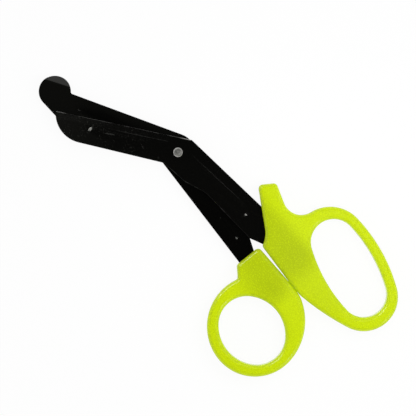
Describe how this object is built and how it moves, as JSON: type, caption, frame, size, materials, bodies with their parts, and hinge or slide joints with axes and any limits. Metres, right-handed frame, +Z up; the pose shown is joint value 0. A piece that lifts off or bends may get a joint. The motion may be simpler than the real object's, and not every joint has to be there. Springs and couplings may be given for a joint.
{
  "type": "bandage scissors",
  "caption": "Cranked bandage scissors with black sheet-steel blades on a rivet, a blunt ski foot on the lower blade, and lime moulded thumb and finger loops.",
  "frame": {"origin": "under the middle of the closed scissors' box, on the surface they lie on", "axes": "+X along the scissors towards the handles, +Y towards the finger handle, +Z up out of the upper blade's face"},
  "size_m": [0.1838, 0.0894, 0.0104],
  "materials": {
    "blade_steel": "satin",
    "rivet_steel": "satin",
    "handle_plastic": "satin"
  },
  "bodies": {
    "lower_half": {"lower_blade": "blade_steel", "thumb_handle": "handle_plastic", "pivot_rivet": "rivet_steel"},
    "upper_half": {"upper_blade": "blade_steel", "finger_handle": "handle_plastic"}
  },
  "joints": [
    {"name": "blade_pivot", "type": "hinge", "parent": "lower_half", "child": "upper_half", "pos_m": [-0.02775, 0.00008, 0.0052], "axis": [0, 0, 1], "range_deg": [0, 65]}
  ]
}
